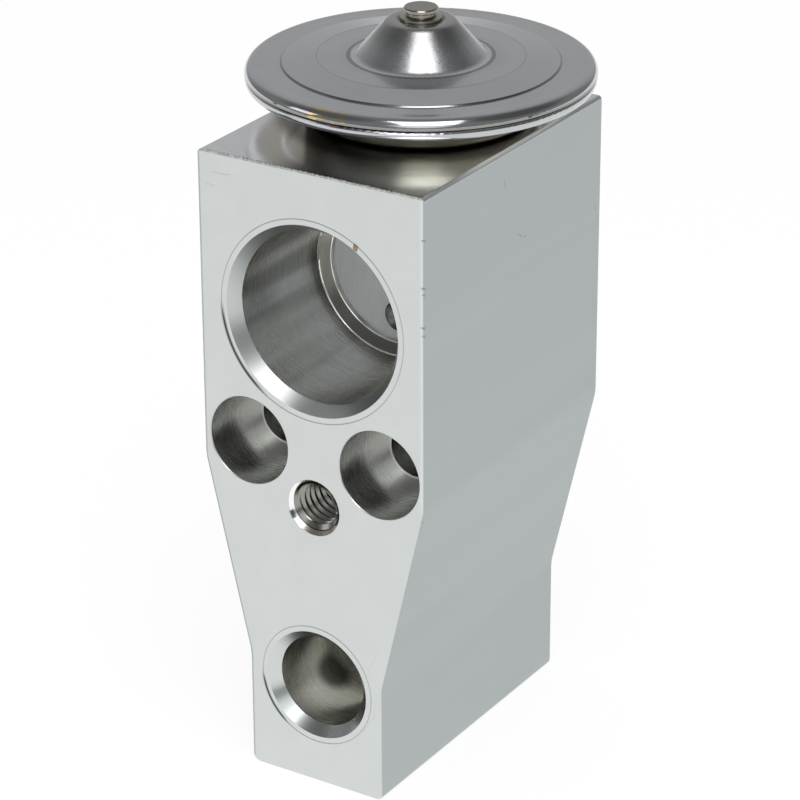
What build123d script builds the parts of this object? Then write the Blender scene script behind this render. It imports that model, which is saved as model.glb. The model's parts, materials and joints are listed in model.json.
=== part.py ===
from build123d import *
import os
from math import atan2, radians, sqrt, tan

# Thermostatic expansion valve of the block kind, in millimetres.
# The origin is the middle of the foot of the block: X runs across, Y runs from
# the front ports to the rear ports, and Z runs up to the power head.

# Fits between the pieces
slip_gap = 0.05          # radial room of a piece that slides or screws in its bore
seat_gap = 0.02          # room between pieces that rest on each other
valve_travel = 0.8       # stroke of the ball below its seat
screw_travel = 1.0       # stroke of the adjusting screw each way, one turn of its thread

# Block, a length of extruded bar
block_width = 30.0
block_depth = 39.0
block_height = 77.2
foot_width = 18.44
ankle_height = 14.8
shoulder_height = 39.3
bend_radius = 7.0
foot_corner_radius = 1.0
top_corner_radius = 0.5

# Axis of the power head, the rods, the ball and the adjusting screw
axis_y = 3.8

# Suction line, with a web between its two ports that the sensing rod crosses
suction_height = 59.3
suction_radius = 10.5
suction_flare = 1.05
suction_chamfer_depth = 1.6
suction_step_height = 1.65
suction_step_length = 0.66
suction_step_slope = 0.44
suction_step_bend = 0.25
web_thickness = 10.0
passage_radius = 5.2
passage_edge = 0.35
bleed_radius = 1.9
bleed_edge = 1.05

# Liquid line
inlet_height = 12.9
outlet_height = 22.0
liquid_radius = 5.75
liquid_flare = 1.15
liquid_chamfer_depth = 1.2
inlet_bore_depth = 14.5
outlet_bore_depth = 8.5
liquid_hole_radius = 2.5
drill_point_angle = 118.0

# Bolt holes and the threaded hole in the front face
bolt_spacing = 17.8
bolt_height = 42.5
bolt_head_radius = 5.35
bolt_head_depth = 7.8
bolt_hole_radius = 3.3
bolt_mouth_chamfer = 0.1
stud_height = 36.1
stud_radius = 3.0
stud_flare = 0.5
stud_depth = 12.5

# Vertical bores of the block, from the top down
neck_thread_radius = 9.0
socket_depth = 5.8
head_seal_section = 0.65
sensing_rod_radius = 2.5
rod_bore_gap = 0.1
rod_window_gap = 0.7
rod_bore_land = 4.0
valve_rod_radius = 1.1
outlet_gallery_radius = 2.5
orifice_radius = 1.8
orifice_length = 0.9
seat_depth = 0.6
chamber_radius = 4.6
seal_bore_step = 0.4
thread_step = 0.45
foot_chamfer = 0.4

# Power head, two pressed covers welded round a diaphragm
head_radius = 20.27
cover_sheet = 1.25
cover_roll_radius = 1.15
cover_weld_radius = 0.05
disc_radius = 16.15
disc_step = 0.2
disc_step_slope = 0.15
crown_radius = 12.0
crown_rise = 0.5
dome_base_radius = 7.75
dome_top_radius = 3.9
dome_rise = 4.35
dome_base_bend = 1.2
dome_top_bend = 1.2
case_sheet = 1.2
case_inset = 0.07
case_roll_radius = 0.8
case_weld_radius = 0.3
case_seat_radius = 13.0
case_slope = 3.0
case_rise = 3.65
case_bend = 0.8
diaphragm_sheet = 0.15
rim_weld_depth = 0.5
ripple_gap = 0.5
ripple_width = 1.6
ripple_depth = 0.35
ripple_slope = 0.4

# Plug that closes the filling hole of the dome
plug_stem_radius = 1.5
plug_stem_end = 0.65
plug_bead_radius = 2.45
plug_bead_edge = 0.3
plug_bead_height = 0.5
plug_neck_radius = 1.7
plug_neck_height = 0.35
plug_head_radius = 2.0
plug_head_height = 0.55
plug_chamfer = 0.12

# Neck ring, stopper plate and rods
neck_length = 5.2
neck_bore_radius = 6.0
neck_lip = 0.6
neck_flange_width = 1.6
neck_chamfer = 0.5
stopper_radius = 12.5
stopper_sheet = 1.6
stopper_boss_radius = 4.0
stopper_boss_height = 2.0
stopper_chamfer = 0.4
spigot_shoulder = 0.7
rod_end_gap = 0.35
rod_socket_depth = 2.0
rod_chamfer = 0.3
push_nut_sheet = 0.4

# Ball, carrier, damper and spring
ball_radius = 2.8
carrier_gap = 0.7
carrier_flange = 1.0
carrier_hub_radius = 3.0
carrier_hub_height = 1.8
carrier_pilot_radius = 2.1
carrier_pilot_length = 1.6
carrier_floor_radius = 1.0
damper_sheet = 0.3
damper_hole_radius = 2.2
damper_leg_width = 2.0
damper_legs = 4
spring_radius = 2.85
spring_wire_radius = 0.45
spring_turns = 5.0
spring_gap = 0.15

# Adjusting screw
screw_recess = 0.3
screw_end_gap = 0.1
screw_thread_length = 3.3
screw_seal_length = 3.3
screw_web = 1.0
screw_chamfer = 0.4
key_across_flats = 5.0
key_depth = 1.9
screw_groove_depth = 0.8
screw_groove_height = 1.0
screw_groove_land = 0.3
screw_seal_section = 0.4

# Heights and places that follow from the sizes above
front_y = -block_depth / 2
rear_y = block_depth / 2
web_front = axis_y - web_thickness / 2
web_rear = axis_y + web_thickness / 2
case_floor = block_height + case_sheet
case_radius = head_radius - case_inset
case_flange_radius = case_seat_radius + case_slope
diaphragm_radius = case_radius - rim_weld_depth
ripple_inner_radius = stopper_radius + ripple_gap
flange_foot = block_height + case_rise
diaphragm_foot = flange_foot + case_sheet
cover_foot = diaphragm_foot + diaphragm_sheet
cover_top = cover_foot + cover_sheet
crown_foot = cover_top + disc_step
disc_top = crown_foot + crown_rise
dome_top = disc_top + dome_rise
plug_foot = dome_top - cover_sheet - plug_stem_end
plug_bead_top = dome_top + plug_bead_height
plug_head_foot = plug_bead_top + plug_neck_height
stopper_top = diaphragm_foot - slip_gap
stopper_foot = stopper_top - stopper_sheet
stopper_boss_foot = stopper_foot - stopper_boss_height
neck_top = stopper_foot - valve_travel - slip_gap
neck_flange_radius = neck_thread_radius + neck_lip + neck_flange_width
socket_floor = block_height - socket_depth
suction_mouth_radius = suction_radius + suction_flare
suction_step_radius = suction_radius - suction_step_height
liquid_mouth_radius = liquid_radius + liquid_flare
stud_mouth_radius = stud_radius + stud_flare
passage_height = suction_height + suction_step_radius - passage_radius - passage_edge
bleed_height = suction_height - suction_step_radius + bleed_radius + bleed_edge
rod_bore_floor = bleed_height - bleed_radius - rod_bore_land
rod_bore_radius = sensing_rod_radius + rod_bore_gap
rod_window_radius = sensing_rod_radius + rod_window_gap
rod_spigot_radius = sensing_rod_radius - spigot_shoulder
valve_rod_bore = valve_rod_radius + slip_gap
head_seal_chamfer = (2 + sqrt(2)) * (head_seal_section + seat_gap) - slip_gap
rod_seal_section = (rod_bore_radius - valve_rod_bore) / 2 - seat_gap
push_nut_foot = rod_bore_floor + 2 * (rod_seal_section + seat_gap)
push_nut_top = push_nut_foot + push_nut_sheet
sensing_rod_foot = push_nut_top + valve_travel + rod_end_gap
gallery_floor = outlet_height - outlet_gallery_radius
chamber_top = gallery_floor - orifice_length - seat_depth
seat_mouth_radius = orifice_radius + seat_depth
ball_height = chamber_top + seat_mouth_radius - ball_radius * sqrt(2) - slip_gap
ball_top = ball_height + ball_radius
cone_rise = carrier_hub_radius - carrier_floor_radius
carrier_hub_top = ball_height - ball_radius * sqrt(2) + carrier_hub_radius - seat_gap
carrier_seat = carrier_hub_top - carrier_hub_height
carrier_foot = carrier_seat - carrier_flange
damper_foot = carrier_foot - damper_sheet
seal_bore_radius = chamber_radius + seal_bore_step
screw_thread_radius = seal_bore_radius + thread_step
screw_foot = screw_travel + screw_recess
screw_thread_top = screw_foot + screw_thread_length
screw_top = screw_thread_top + screw_seal_length
seal_bore_floor = screw_thread_top + screw_travel + screw_end_gap
chamber_floor = screw_top + screw_travel + screw_end_gap
screw_body_radius = seal_bore_radius - slip_gap
screw_groove_radius = screw_body_radius - screw_groove_depth
screw_groove_foot = screw_top - screw_groove_land - screw_groove_height
screw_cup_floor = screw_foot + key_depth + screw_web
screw_cup_radius = spring_radius + spring_wire_radius + spring_gap
carrier_radius = chamber_radius - carrier_gap
damper_leg_foot = chamber_floor + valve_travel

os.makedirs("parts", exist_ok=True)
section_plane = Plane.XZ.offset(-axis_y)
valve_axis = Axis((0, axis_y, 0), (0, 0, 1))


def section(plane, points):
    """Closed outline on a plane, where a point's third number rounds that corner."""
    with BuildSketch(plane) as outline:
        with BuildLine():
            Polyline(*[point[:2] for point in points], close=True)
        make_face()
        for point in points:
            if len(point) == 3:
                corner = outline.vertices().sort_by_distance(point[:2])[0]
                fillet(corner, radius=point[2])
    return outline.sketch


def turned(points, mode=Mode.ADD):
    """Solid of revolution about the valve's axis, from radius and height pairs."""
    revolve(section(section_plane, points), axis=valve_axis, mode=mode)


def bored(height, points, across=0.0):
    """Bore along Y about the line at this height, from depth and radius pairs.

    A third number rounds that corner.
    """
    outline = [(y, height + radius, *bend) for y, radius, *bend in points if radius > 0]
    closed = [(points[0][0], height), *outline, (points[-1][0], height)]
    bore_axis = Axis((across, 0, height), (0, 1, 0))
    cut = section(Plane.YZ.offset(across), closed)
    revolve(cut, axis=bore_axis, mode=Mode.SUBTRACT)


def cone_length(radius):
    """Length of a drill's point that opens out to this radius."""
    return radius / tan(radians(drill_point_angle / 2))


# Block
with BuildPart() as valve_body:
    with BuildSketch(Plane.XZ):
        with BuildLine():
            Polyline(
                (0, 0),
                (foot_width / 2, 0),
                (foot_width / 2, ankle_height),
                (block_width / 2, shoulder_height),
                (block_width / 2, block_height),
                (0, block_height),
                close=True,
            )
        half = make_face()
        mirror(half, about=Plane.YZ)
    extrude(amount=block_depth / 2, both=True)
    along = valve_body.edges().filter_by(Axis.Y).group_by(Axis.Z)
    ankles, shoulders = along[1], along[2]
    fillet(ankles + shoulders, radius=bend_radius)
    foot_edges = valve_body.edges().filter_by(Axis.Y).group_by(Axis.Z)[0]
    fillet(foot_edges, radius=foot_corner_radius)
    top_edges = valve_body.edges().filter_by(Axis.Y).group_by(Axis.Z)[-1]
    fillet(top_edges, radius=top_corner_radius)

    # Suction ports, each with a step down to the web
    for face, inward, web in ((front_y, 1, web_front), (rear_y, -1, web_rear)):
        step = web - inward * suction_step_length
        bored(
            suction_height,
            [
                (face, suction_mouth_radius),
                (face + inward * suction_chamfer_depth, suction_radius),
                (step - inward * suction_step_slope, suction_radius, suction_step_bend),
                (step, suction_step_radius, suction_step_bend),
                (web, suction_step_radius),
            ],
        )
    bored(passage_height, [(web_front, passage_radius), (web_rear, passage_radius)])
    bored(bleed_height, [(web_front, bleed_radius), (web_rear, bleed_radius)])

    # Liquid ports, each drilled through to the valve's axis
    for height, face, inward, depth in (
        (inlet_height, front_y, 1, inlet_bore_depth),
        (outlet_height, rear_y, -1, outlet_bore_depth),
    ):
        bore_end = face + inward * depth
        point_end = bore_end + inward * cone_length(liquid_radius - liquid_hole_radius)
        bored(
            height,
            [
                (face, liquid_mouth_radius),
                (face + inward * liquid_chamfer_depth, liquid_radius),
                (bore_end, liquid_radius),
                (point_end, liquid_hole_radius),
                (axis_y, liquid_hole_radius),
            ],
        )

    # Two bolt holes right through, with room for the bolts' heads in front
    for side in (-1, 1):
        bored(
            bolt_height,
            [
                (front_y, bolt_head_radius + bolt_mouth_chamfer),
                (front_y + bolt_mouth_chamfer, bolt_head_radius),
                (front_y + bolt_head_depth, bolt_head_radius),
                (front_y + bolt_head_depth, bolt_hole_radius),
                (rear_y - bolt_mouth_chamfer, bolt_hole_radius),
                (rear_y, bolt_hole_radius + bolt_mouth_chamfer),
            ],
            across=side * bolt_spacing / 2,
        )

    # Blind hole for the stud, at its thread's outer radius
    stud_end = front_y + stud_depth
    bored(
        stud_height,
        [
            (front_y, stud_mouth_radius),
            (front_y + stud_mouth_radius - stud_radius, stud_radius),
            (stud_end, stud_radius),
            (stud_end + cone_length(stud_radius), 0),
        ],
    )

    # Everything that is bored from the top and from the foot about the valve's axis
    turned(
        [
            (0, 0),
            (screw_thread_radius + slip_gap + foot_chamfer, 0),
            (screw_thread_radius + slip_gap, foot_chamfer),
            (screw_thread_radius + slip_gap, seal_bore_floor),
            (seal_bore_radius, seal_bore_floor),
            (seal_bore_radius, chamber_floor),
            (chamber_radius, chamber_floor),
            (chamber_radius, chamber_top),
            (seat_mouth_radius, chamber_top),
            (orifice_radius, chamber_top + seat_depth),
            (orifice_radius, gallery_floor),
            (outlet_gallery_radius, gallery_floor),
            (outlet_gallery_radius, outlet_height + outlet_gallery_radius),
            (valve_rod_bore, outlet_height + outlet_gallery_radius),
            (valve_rod_bore, rod_bore_floor),
            (rod_bore_radius, rod_bore_floor),
            (rod_bore_radius, passage_height),
            (rod_window_radius, passage_height),
            (rod_window_radius, socket_floor),
            (neck_thread_radius + slip_gap, socket_floor),
            (neck_thread_radius + slip_gap, block_height - head_seal_chamfer),
            (neck_thread_radius + slip_gap + head_seal_chamfer, block_height),
            (0, block_height),
        ],
        mode=Mode.SUBTRACT,
    )
valve_body.part.label = "valve_body"
export_step(valve_body.part, "parts/valve_body.step")

# Upper cover of the head: flange, crowned disc and the dome with its filling hole
dome_angle = atan2(dome_rise, dome_base_radius - dome_top_radius)
dome_shift = cover_sheet * tan(dome_angle / 2)
disc_angle = atan2(disc_step, disc_step_slope)
disc_shift = cover_sheet * tan(disc_angle / 2)
crown_foot_radius = disc_radius - disc_step_slope
crown_angle = atan2(crown_rise, crown_foot_radius - crown_radius)
crown_shift = cover_sheet * tan(crown_angle / 2)
filling_hole = plug_stem_radius + slip_gap
with BuildPart() as upper_cover:
    turned(
        [
            (filling_hole, dome_top),
            (dome_top_radius, dome_top, dome_top_bend),
            (dome_base_radius, disc_top, dome_base_bend),
            (crown_radius, disc_top),
            (crown_foot_radius, crown_foot, disc_step_slope / 2),
            (disc_radius, cover_top, disc_step_slope / 2),
            (head_radius, cover_top, cover_roll_radius),
            (head_radius, cover_foot, cover_weld_radius),
            (disc_radius - disc_shift, cover_foot),
            (crown_foot_radius - disc_shift, crown_foot - cover_sheet),
            (crown_radius - crown_shift, disc_top - cover_sheet),
            (dome_base_radius - dome_shift, disc_top - cover_sheet),
            (dome_top_radius - dome_shift, dome_top - cover_sheet),
            (filling_hole, dome_top - cover_sheet),
        ]
    )
upper_cover.part.label = "upper_cover"
export_step(upper_cover.part, "parts/upper_cover.step")

# Lower case of the head: flange, wall and the flat seat that rests on the block
case_angle = atan2(case_rise, case_flange_radius - case_seat_radius)
case_shift = case_sheet * tan(case_angle / 2)
case_hole = neck_thread_radius + neck_lip + slip_gap
with BuildPart() as lower_case:
    turned(
        [
            (case_hole, block_height),
            (case_seat_radius, block_height, case_bend + case_sheet),
            (case_flange_radius, flange_foot, case_bend),
            (case_radius, flange_foot, case_roll_radius),
            (case_radius, diaphragm_foot, case_weld_radius),
            (case_flange_radius - case_shift, diaphragm_foot, case_bend),
            (case_seat_radius - case_shift, case_floor, case_bend),
            (case_hole, case_floor),
        ]
    )
lower_case.part.label = "lower_case"
export_step(lower_case.part, "parts/lower_case.step")

# Threaded ring welded through the floor of the lower case
with BuildPart() as neck_ring:
    turned(
        [
            (neck_bore_radius, block_height - neck_length),
            (neck_thread_radius - neck_chamfer, block_height - neck_length),
            (neck_thread_radius, block_height - neck_length + neck_chamfer),
            (neck_thread_radius, block_height),
            (neck_thread_radius + neck_lip, block_height),
            (neck_thread_radius + neck_lip, case_floor),
            (neck_flange_radius, case_floor),
            (neck_flange_radius, neck_top),
            (neck_bore_radius, neck_top),
        ]
    )
neck_ring.part.label = "neck_ring"
export_step(neck_ring.part, "parts/neck_ring.step")

# Diaphragm, held at its rim between the two covers, with one ripple
ripple_outer_radius = ripple_inner_radius + ripple_width
with BuildPart() as diaphragm:
    turned(
        [
            (0, diaphragm_foot),
            (ripple_inner_radius, diaphragm_foot),
            (ripple_inner_radius + ripple_slope, diaphragm_foot - ripple_depth),
            (ripple_outer_radius - ripple_slope, diaphragm_foot - ripple_depth),
            (ripple_outer_radius, diaphragm_foot),
            (diaphragm_radius, diaphragm_foot),
            (diaphragm_radius, cover_foot),
            (ripple_outer_radius - diaphragm_sheet / 2, cover_foot),
            (ripple_outer_radius - ripple_slope, cover_foot - ripple_depth),
            (ripple_inner_radius + ripple_slope, cover_foot - ripple_depth),
            (ripple_inner_radius + diaphragm_sheet / 2, cover_foot),
            (0, cover_foot),
        ]
    )
diaphragm.part.label = "diaphragm"
export_step(diaphragm.part, "parts/diaphragm.step")

# Plug in the filling hole, with the upset bead of its weld
with BuildPart() as charge_plug:
    turned(
        [
            (0, plug_foot),
            (plug_stem_radius, plug_foot),
            (plug_stem_radius, dome_top),
            (plug_bead_radius, dome_top),
            (plug_bead_radius, dome_top + plug_bead_edge),
            (plug_neck_radius, plug_bead_top),
            (plug_neck_radius, plug_head_foot),
            (plug_head_radius - plug_chamfer, plug_head_foot),
            (plug_head_radius, plug_head_foot + plug_chamfer),
            (plug_head_radius, plug_head_foot + plug_head_height - plug_chamfer),
            (plug_head_radius - plug_chamfer, plug_head_foot + plug_head_height),
            (0, plug_head_foot + plug_head_height),
        ]
    )
charge_plug.part.label = "charge_plug"
export_step(charge_plug.part, "parts/charge_plug.step")

# Seal ring in the chamfer round the neck
head_seal_place = (0, axis_y, block_height - head_seal_section - seat_gap)
with BuildPart(Plane(head_seal_place)) as head_seal:
    Torus(neck_thread_radius + head_seal_section + seat_gap, head_seal_section)
head_seal.part.label = "head_seal"
export_step(head_seal.part, "parts/head_seal.step")

# Stopper plate that the diaphragm pushes on
spigot_hole = rod_spigot_radius + seat_gap
with BuildPart() as stopper_plate:
    turned(
        [
            (spigot_hole, stopper_boss_foot),
            (stopper_boss_radius, stopper_boss_foot),
            (stopper_boss_radius, stopper_foot),
            (stopper_radius, stopper_foot),
            (stopper_radius, stopper_top - stopper_chamfer),
            (stopper_radius - stopper_chamfer, stopper_top),
            (spigot_hole, stopper_top),
        ]
    )
stopper_plate.part.label = "stopper_plate"
export_step(stopper_plate.part, "parts/stopper_plate.step")

# Sensing rod, staked in the stopper plate, with a socket for the valve rod in its foot
rod_socket_radius = valve_rod_radius + seat_gap
rod_socket_top = sensing_rod_foot + rod_socket_depth
with BuildPart() as sensing_rod:
    turned(
        [
            (0, rod_socket_top),
            (rod_socket_radius, rod_socket_top),
            (rod_socket_radius, sensing_rod_foot),
            (sensing_rod_radius - rod_chamfer, sensing_rod_foot),
            (sensing_rod_radius, sensing_rod_foot + rod_chamfer),
            (sensing_rod_radius, stopper_boss_foot),
            (rod_spigot_radius, stopper_boss_foot),
            (rod_spigot_radius, stopper_top),
            (0, stopper_top),
        ]
    )
sensing_rod.part.label = "sensing_rod"
export_step(sensing_rod.part, "parts/sensing_rod.step")

# Valve rod, from the sensing rod's socket down to the ball
with BuildPart() as valve_rod:
    turned(
        [
            (0, ball_top + seat_gap),
            (valve_rod_radius, ball_top + seat_gap),
            (valve_rod_radius, rod_socket_top),
            (0, rod_socket_top),
        ]
    )
valve_rod.part.label = "valve_rod"
export_step(valve_rod.part, "parts/valve_rod.step")

# Seal ring round the valve rod, in the floor of the sensing rod's bore
rod_seal_place = (0, axis_y, rod_bore_floor + rod_seal_section + seat_gap)
with BuildPart(Plane(rod_seal_place)) as rod_seal:
    Torus((rod_bore_radius + valve_rod_bore) / 2, rod_seal_section)
rod_seal.part.label = "rod_seal"
export_step(rod_seal.part, "parts/rod_seal.step")

# Push nut that holds the rod's seal ring down
with BuildPart() as push_nut:
    turned(
        [
            (valve_rod_bore, push_nut_foot),
            (rod_bore_radius - seat_gap, push_nut_foot),
            (rod_bore_radius - seat_gap, push_nut_top),
            (valve_rod_bore, push_nut_top),
        ]
    )
push_nut.part.label = "push_nut"
export_step(push_nut.part, "parts/push_nut.step")

# Valve ball
with BuildPart(Plane((0, axis_y, ball_height))) as valve_ball:
    Sphere(ball_radius)
valve_ball.part.label = "valve_ball"
export_step(valve_ball.part, "parts/valve_ball.step")

# Carrier, a turned cup whose cone holds the ball and whose flange meets the spring
with BuildPart() as ball_carrier:
    turned(
        [
            (0, carrier_foot - carrier_pilot_length),
            (carrier_pilot_radius, carrier_foot - carrier_pilot_length),
            (carrier_pilot_radius, carrier_foot),
            (carrier_radius, carrier_foot),
            (carrier_radius, carrier_seat),
            (carrier_hub_radius + rod_chamfer, carrier_seat),
            (carrier_hub_radius + rod_chamfer, carrier_hub_top),
            (carrier_hub_radius, carrier_hub_top),
            (carrier_floor_radius, carrier_hub_top - cone_rise),
            (0, carrier_hub_top - cone_rise),
        ]
    )
ball_carrier.part.label = "ball_carrier"
export_step(ball_carrier.part, "parts/ball_carrier.step")

# Damper, a sheet ring under the carrier with legs that rub on the chamber's wall
damper_radius = chamber_radius - slip_gap
damper_wall = damper_radius - damper_sheet
with BuildPart() as damper_spring:
    turned(
        [
            (damper_hole_radius, damper_foot),
            (damper_wall, damper_foot),
            (damper_wall, damper_leg_foot),
            (damper_radius, damper_leg_foot),
            (damper_radius, carrier_foot),
            (damper_hole_radius, carrier_foot),
        ]
    )
    with BuildSketch(Plane((0, axis_y, carrier_foot))):
        Circle(damper_radius + damper_sheet)
        Circle(carrier_radius, mode=Mode.SUBTRACT)
        with PolarLocations(damper_wall, damper_legs):
            Rectangle(damper_leg_width, damper_leg_width, mode=Mode.SUBTRACT)
    extrude(amount=damper_leg_foot - carrier_foot, mode=Mode.SUBTRACT)
damper_spring.part.label = "damper_spring"
export_step(damper_spring.part, "parts/damper_spring.step")

# Valve spring between the damper's ring and the floor of the screw's cup
spring_foot = screw_cup_floor + seat_gap
spring_top = damper_foot - seat_gap
spring_pitch = (spring_top - spring_foot) / spring_turns
with BuildPart() as valve_spring:
    with BuildLine(Plane((0, axis_y, spring_foot))) as coil:
        Helix(spring_pitch, spring_top - spring_foot, spring_radius)
    with BuildSketch(Plane(coil.line @ 0, z_dir=coil.line % 0)):
        Circle(spring_wire_radius)
    sweep(path=coil.line, is_frenet=True)
    split(bisect_by=Plane.XY.offset(spring_foot), keep=Keep.TOP)
    split(bisect_by=Plane.XY.offset(spring_top), keep=Keep.BOTTOM)
valve_spring.part.label = "valve_spring"
export_step(valve_spring.part, "parts/valve_spring.step")

# Adjusting screw: thread, groove for its seal ring, cup for the spring and key socket
with BuildPart() as adjusting_screw:
    turned(
        [
            (0, screw_foot),
            (screw_thread_radius - screw_chamfer, screw_foot),
            (screw_thread_radius, screw_foot + screw_chamfer),
            (screw_thread_radius, screw_thread_top),
            (screw_body_radius, screw_thread_top),
            (screw_body_radius, screw_groove_foot),
            (screw_groove_radius, screw_groove_foot),
            (screw_groove_radius, screw_groove_foot + screw_groove_height),
            (screw_body_radius, screw_groove_foot + screw_groove_height),
            (screw_body_radius, screw_top),
            (screw_cup_radius, screw_top),
            (screw_cup_radius, screw_cup_floor),
            (0, screw_cup_floor),
        ]
    )
    with BuildSketch(Plane((0, axis_y, screw_foot))):
        RegularPolygon(key_across_flats / 2, 6, major_radius=False)
    extrude(amount=key_depth, mode=Mode.SUBTRACT)
adjusting_screw.part.label = "adjusting_screw"
export_step(adjusting_screw.part, "parts/adjusting_screw.step")

# Seal ring of the adjusting screw
screw_seal_place = (0, axis_y, screw_groove_foot + screw_groove_height / 2)
with BuildPart(Plane(screw_seal_place)) as screw_seal:
    Torus((screw_groove_radius + seal_bore_radius) / 2, screw_seal_section)
screw_seal.part.label = "screw_seal"
export_step(screw_seal.part, "parts/screw_seal.step")
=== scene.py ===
"""Looks of a block-type thermostatic expansion valve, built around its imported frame."""

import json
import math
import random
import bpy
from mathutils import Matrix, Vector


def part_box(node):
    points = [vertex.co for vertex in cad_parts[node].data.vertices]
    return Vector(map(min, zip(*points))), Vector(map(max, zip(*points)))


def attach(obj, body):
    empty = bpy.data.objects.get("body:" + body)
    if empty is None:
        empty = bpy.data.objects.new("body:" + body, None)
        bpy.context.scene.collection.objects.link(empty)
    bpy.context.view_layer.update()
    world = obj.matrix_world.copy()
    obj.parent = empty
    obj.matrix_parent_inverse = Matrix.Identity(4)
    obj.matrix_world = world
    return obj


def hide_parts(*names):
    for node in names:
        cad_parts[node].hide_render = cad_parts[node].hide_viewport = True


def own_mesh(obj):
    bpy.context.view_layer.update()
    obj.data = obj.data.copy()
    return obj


bl_info = {
    "name": "Expansion Valve Looks",
    "version": (1, 0, 0),
    "blender": (4, 5, 0),
    "location": "3D View > Sidebar > Valve",
    "description": "Finishes, thread, spring and edge marks of an expansion valve, and its stage",
    "category": "Object",
}

from types import SimpleNamespace

import bmesh
import bpy
from bpy.props import FloatProperty, FloatVectorProperty, IntProperty, PointerProperty
from mathutils import Matrix, Vector

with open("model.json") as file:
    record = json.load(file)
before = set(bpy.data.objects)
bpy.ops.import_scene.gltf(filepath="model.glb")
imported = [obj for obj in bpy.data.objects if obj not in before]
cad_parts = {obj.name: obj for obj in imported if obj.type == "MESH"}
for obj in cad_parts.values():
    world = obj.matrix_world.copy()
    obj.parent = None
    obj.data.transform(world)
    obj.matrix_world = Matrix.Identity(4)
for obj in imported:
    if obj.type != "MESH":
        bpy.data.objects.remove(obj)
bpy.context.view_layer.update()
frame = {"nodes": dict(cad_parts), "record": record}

MM = 0.001
BLOCK_LOW, BLOCK_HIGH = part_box("valve_body")
HEAD_LOW, HEAD_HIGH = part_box("upper_cover")
SPRING_LOW, SPRING_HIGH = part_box("valve_spring")
PLUG_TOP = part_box("charge_plug")[1].z
NECK_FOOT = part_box("neck_ring")[0].z
SCREW_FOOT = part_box("adjusting_screw")[0].z
AXIS_Y = (HEAD_LOW.y + HEAD_HIGH.y) / 2
HEAD_RADIUS = (HEAD_HIGH.x - HEAD_LOW.x) / 2
FRONT_Y = BLOCK_LOW.y
TOP_Z = BLOCK_HIGH.z

# Heights and radii of the ports and holes in the block's front
MOUNTS = {mount["name"]: mount for mount in frame["record"]["mounts"]}
PORTS = [MOUNTS[name] for name in ("suction_port_front", "liquid_inlet_port", "stud_hole")]
SUCTION_Z, LIQUID_Z, STUD_Z = [port["pos_m"][2] for port in PORTS]
SUCTION_RADIUS, LIQUID_RADIUS, STUD_RADIUS = [port["dims"]["r_mm"] * MM for port in PORTS]
BOLT_Z = MOUNTS["flange_bolts"]["pos_m"][2]
BOLT_X = MOUNTS["flange_bolts"]["dims"]["spacing_x_mm"] / 2 * MM


# Properties


def a_length(name, description, default, precision=5):
    """Property for a length in metres."""
    return FloatProperty(
        name=name, description=description, default=default,
        precision=precision, subtype="DISTANCE", unit="LENGTH",
    )


def an_angle(name, description, degrees):
    """Property for an angle, given in degrees."""
    return FloatProperty(
        name=name, description=description, default=math.radians(degrees),
        subtype="ANGLE", unit="ROTATION",
    )


def a_colour(name, description, default):
    """Property for a colour."""
    return FloatVectorProperty(
        name=name, description=description, default=default, subtype="COLOR", min=0.0, max=1.0,
    )


class ValveSizes(bpy.types.PropertyGroup):
    """Sizes of what is added to the solids."""

    thread_pitch: a_length("Thread pitch", "Pitch of the stud hole's thread", 1.0 * MM)
    thread_depth: a_length(
        "Thread depth", "How far the ridge stands out of the stud hole's wall", 0.54 * MM
    )
    thread_length: a_length("Thread length", "Length of the stud hole's thread", 11.0 * MM)
    spring_turns: FloatProperty(
        name="Spring turns", description="Turns of the valve spring", default=5.0, min=1.0,
    )
    spring_wire: a_length("Spring wire", "Radius of the valve spring's wire", 0.45 * MM)
    suction_score: a_length(
        "Suction score", "Radius of the tool mark round the suction port", 12.25 * MM
    )
    liquid_score: a_length(
        "Liquid score", "Radius of the tool mark round the liquid port", 7.6 * MM
    )
    disc_score: a_length("Disc score", "Radius of the fine ring on the head's disc", 12.0 * MM)
    burr_seed: IntProperty(
        name="Burr seed", description="Seed of the burr along the front top edge", default=7,
    )


class ValveFinishes(bpy.types.PropertyGroup):
    """Colours of the bare metals and the seals."""

    milled: a_colour(
        "Milled aluminium", "Colour of the milled front and rear faces", (0.70, 0.73, 0.72)
    )
    # The extruded colour is partly the duller skin of the sides and partly painted shade that
    # darkens the side faces
    extruded: a_colour("Extruded aluminium", "Colour of the extruded sides", (0.50, 0.545, 0.54))
    turned: a_colour("Turned aluminium", "Colour of the bores", (0.60, 0.605, 0.585))
    steel: a_colour("Pressed steel", "Colour of the power head", (0.555, 0.565, 0.58))
    plug: a_colour("Plug steel", "Colour of the plug on the dome", (0.36, 0.335, 0.30))
    brass: a_colour(
        "Brass", "Colour of the adjusting screw and the stopper plate", (0.78, 0.58, 0.29)
    )
    rubber: a_colour("Seal rubber", "Colour of the seal rings", (0.02, 0.02, 0.022))


class ValveStage(bpy.types.PropertyGroup):
    """Camera and light of the studio."""

    azimuth: an_angle("Azimuth", "Turn of the camera round the part from its front", 32.449)
    elevation: an_angle("Elevation", "Height of the camera as an angle", 24.569)
    roll: an_angle("Roll", "Turn of the camera about its own line of sight", -0.2346)
    distance: a_length(
        "Distance", "From the camera to the point that it looks at", 415.85 * MM, precision=4
    )
    lens: FloatProperty(
        name="Lens", description="Focal length in millimetres", default=157.9, min=10.0,
    )
    aim: FloatVectorProperty(
        name="Aim", description="Point that the camera looks at",
        default=(-0.625 * MM, 0.0, 42.03 * MM), precision=5, subtype="XYZ", unit="LENGTH",
    )
    floor_colour: a_colour("Floor", "Colour of the floor", (0.86, 0.86, 0.86))


# Node trees


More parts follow.
